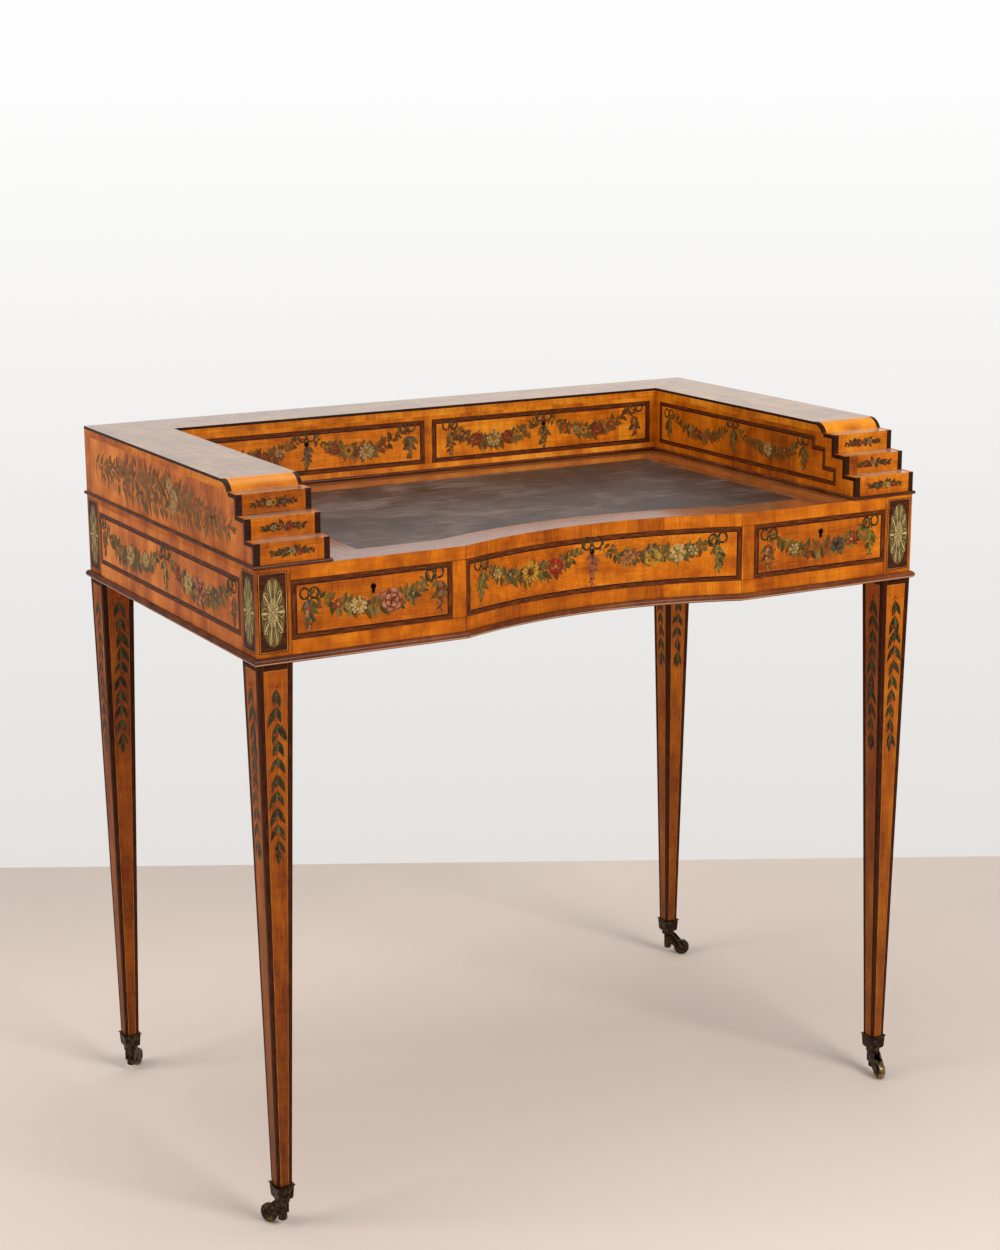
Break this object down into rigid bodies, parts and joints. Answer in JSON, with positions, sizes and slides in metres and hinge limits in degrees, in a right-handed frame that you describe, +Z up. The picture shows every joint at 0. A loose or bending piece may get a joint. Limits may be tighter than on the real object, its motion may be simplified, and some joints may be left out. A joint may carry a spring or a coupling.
{
  "type": "carlton house writing desk",
  "caption": "Writing desk with a hollowed front, frieze drawers, a raised U-shaped gallery with stepped wings, and tapered legs on casters.",
  "frame": {"origin": "on the floor under the middle of the desk", "axes": "+X to the sitter's right across the width, +Y to the back, +Z up"},
  "size_m": [0.9127, 0.5596, 0.8775],
  "materials": {
    "satinwood": "satinwood veneer, French polished, with painted flowers and rosewood banding",
    "satinwood_sides": "satinwood veneer on the sides and gallery, French polished",
    "rosewood": "rosewood mouldings, polished",
    "carcass_pine": "plain carcass wood, waxed",
    "leather": "worn dark brown leather",
    "patinated_brass": "cast brass with a dark brown patina",
    "worn_brass": "brass rubbed bright by wear",
    "lock_brass": "plain sheet brass"
  },
  "bodies": {
    "root": {"leg_front_left": "satinwood", "caster_cup_front_left": "patinated_brass", "leg_front_right": "satinwood", "caster_cup_front_right": "patinated_brass", "leg_back_right": "satinwood", "caster_cup_back_right": "patinated_brass", "leg_back_left": "satinwood", "caster_cup_back_left": "patinated_brass", "side_rail_left": "satinwood_sides", "wing_outer_panel_left": "satinwood_sides", "wing_inner_panel_left": "satinwood_sides", "wing_steps_left": "satinwood", "gallery_top_left": "satinwood", "side_rail_right": "satinwood_sides", "wing_outer_panel_right": "satinwood_sides", "wing_inner_panel_right": "satinwood_sides", "wing_steps_right": "satinwood", "gallery_top_right": "satinwood", "back_rail": "satinwood_sides", "front_top_rail": "satinwood", "front_bottom_rail": "satinwood", "drawer_partitions": "satinwood", "drawer_runners": "carcass_pine", "base_moulding": "rosewood", "waist_moulding": "rosewood", "writing_board": "satinwood", "writing_leather": "leather", "gallery_back_panel": "satinwood_sides", "gallery_base_board": "satinwood", "gallery_top_rail": "satinwood", "gallery_uprights": "satinwood", "gallery_top_back": "satinwood"},
    "drawer_left": {"drawer_front_left": "satinwood", "drawer_tray_left": "carcass_pine", "lock_left": "lock_brass"},
    "bolt_left": {"lock_bolt_left": "worn_brass"},
    "drawer_centre": {"drawer_front_centre": "satinwood", "drawer_tray_centre": "carcass_pine", "lock_centre": "lock_brass"},
    "bolt_centre": {"lock_bolt_centre": "worn_brass"},
    "drawer_right": {"drawer_front_right": "satinwood", "drawer_tray_right": "carcass_pine", "lock_right": "lock_brass"},
    "bolt_right": {"lock_bolt_right": "worn_brass"},
    "gallery_drawer_left": {"gallery_drawer_front_left": "satinwood", "gallery_drawer_tray_left": "carcass_pine", "gallery_lock_left": "lock_brass"},
    "gallery_bolt_left": {"gallery_bolt_left": "worn_brass"},
    "gallery_drawer_right": {"gallery_drawer_front_right": "satinwood", "gallery_drawer_tray_right": "carcass_pine", "gallery_lock_right": "lock_brass"},
    "gallery_bolt_right": {"gallery_bolt_right": "worn_brass"},
    "caster_fork_front_left": {"caster_fork_front_left": "patinated_brass"},
    "caster_wheel_front_left": {"caster_wheel_front_left": "worn_brass"},
    "caster_fork_front_right": {"caster_fork_front_right": "patinated_brass"},
    "caster_wheel_front_right": {"caster_wheel_front_right": "worn_brass"},
    "caster_fork_back_right": {"caster_fork_back_right": "patinated_brass"},
    "caster_wheel_back_right": {"caster_wheel_back_right": "worn_brass"},
    "caster_fork_back_left": {"caster_fork_back_left": "patinated_brass"},
    "caster_wheel_back_left": {"caster_wheel_back_left": "worn_brass"}
  },
  "joints": [
    {"name": "drawer_left_slide", "type": "slide", "parent": "root", "child": "drawer_left", "axis": [0, -1, 0], "range_m": [0, 0.3]},
    {"name": "bolt_left_rise", "type": "slide", "parent": "drawer_left", "child": "bolt_left", "axis": [0, 0, 1], "range_m": [0, 0.0035]},
    {"name": "drawer_centre_slide", "type": "slide", "parent": "root", "child": "drawer_centre", "axis": [0, -1, 0], "range_m": [0, 0.3]},
    {"name": "bolt_centre_rise", "type": "slide", "parent": "drawer_centre", "child": "bolt_centre", "axis": [0, 0, 1], "range_m": [0, 0.0035]},
    {"name": "drawer_right_slide", "type": "slide", "parent": "root", "child": "drawer_right", "axis": [0, -1, 0], "range_m": [0, 0.3]},
    {"name": "bolt_right_rise", "type": "slide", "parent": "drawer_right", "child": "bolt_right", "axis": [0, 0, 1], "range_m": [0, 0.0035]},
    {"name": "gallery_drawer_left_slide", "type": "slide", "parent": "root", "child": "gallery_drawer_left", "axis": [0, -1, 0], "range_m": [0, 0.045]},
    {"name": "gallery_bolt_left_rise", "type": "slide", "parent": "gallery_drawer_left", "child": "gallery_bolt_left", "axis": [0, 0, 1], "range_m": [0, 0.0035]},
    {"name": "gallery_drawer_right_slide", "type": "slide", "parent": "root", "child": "gallery_drawer_right", "axis": [0, -1, 0], "range_m": [0, 0.045]},
    {"name": "gallery_bolt_right_rise", "type": "slide", "parent": "gallery_drawer_right", "child": "gallery_bolt_right", "axis": [0, 0, 1], "range_m": [0, 0.0035]},
    {"name": "caster_swivel_front_left", "type": "hinge", "parent": "root", "child": "caster_fork_front_left", "pos_m": [-0.4318, -0.2508, 0.03], "axis": [0, 0, 1], "continuous": true},
    {"name": "caster_roll_front_left", "type": "hinge", "parent": "caster_fork_front_left", "child": "caster_wheel_front_left", "pos_m": [-0.44034, -0.23162, 0.0115], "axis": [-0.9135, -0.4067, 0], "continuous": true},
    {"name": "caster_swivel_front_right", "type": "hinge", "parent": "root", "child": "caster_fork_front_right", "pos_m": [0.4318, -0.2508, 0.03], "axis": [0, 0, 1], "continuous": true},
    {"name": "caster_roll_front_right", "type": "hinge", "parent": "caster_fork_front_right", "child": "caster_wheel_front_right", "pos_m": [0.42743, -0.27134, 0.0115], "axis": [0.9781, -0.2079, 0], "continuous": true},
    {"name": "caster_swivel_back_right", "type": "hinge", "parent": "root", "child": "caster_fork_back_right", "pos_m": [0.4318, 0.2508, 0.03], "axis": [0, 0, 1], "continuous": true},
    {"name": "caster_roll_back_right", "type": "hinge", "parent": "caster_fork_back_right", "child": "caster_wheel_back_right", "pos_m": [0.44741, 0.23675, 0.0115], "axis": [0.6691, 0.7431, 0], "continuous": true},
    {"name": "caster_swivel_back_left", "type": "hinge", "parent": "root", "child": "caster_fork_back_left", "pos_m": [-0.4318, 0.2508, 0.03], "axis": [0, 0, 1], "continuous": true},
    {"name": "caster_roll_back_left", "type": "hinge", "parent": "caster_fork_back_left", "child": "caster_wheel_back_left", "pos_m": [-0.41775, 0.26641, 0.0115], "axis": [-0.7431, 0.6691, 0], "continuous": true}
  ]
}
